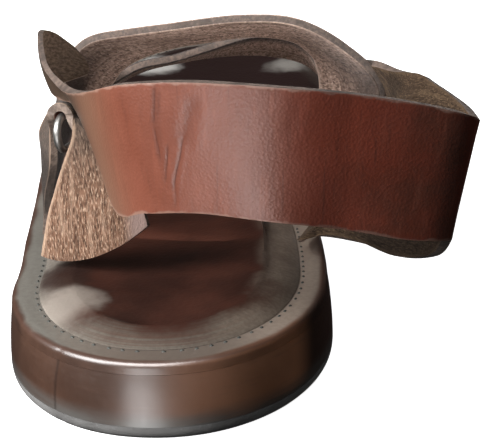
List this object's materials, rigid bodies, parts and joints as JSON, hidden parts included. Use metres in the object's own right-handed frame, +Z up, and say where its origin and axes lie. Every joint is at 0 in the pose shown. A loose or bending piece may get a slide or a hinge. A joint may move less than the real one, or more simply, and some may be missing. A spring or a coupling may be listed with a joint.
{
  "type": "leather sandal",
  "caption": "Leather sandal for the left foot: a flat layered sole, straps over instep and ball, a slack heel strap, and a metal ring in a folded side strap.",
  "frame": {"origin": "on the floor under the centre of the heel, on the outsole's heel seat", "axes": "+X to the inner side of the foot, +Y from heel to toe, +Z up"},
  "size_m": [0.1245, 0.286, 0.0811],
  "materials": {
    "outsole": "dull grey rubber, worn",
    "midsole": "dark brown, waxed and glossy",
    "welt": "brown, rounded and glossy, dusty on top",
    "insole": "dark red brown, polished by wear",
    "upper": "smooth waxed grain outside, raw flesh side inside",
    "quarter_strap": "raw flesh side, coarse and dull",
    "ring": "bright wire"
  },
  "bodies": {
    "root": {"outsole": "outsole", "midsole": "midsole", "welt": "welt", "insole": "insole", "upper": "upper", "quarter_strap": "quarter_strap", "ring": "ring"}
  },
  "joints": []
}
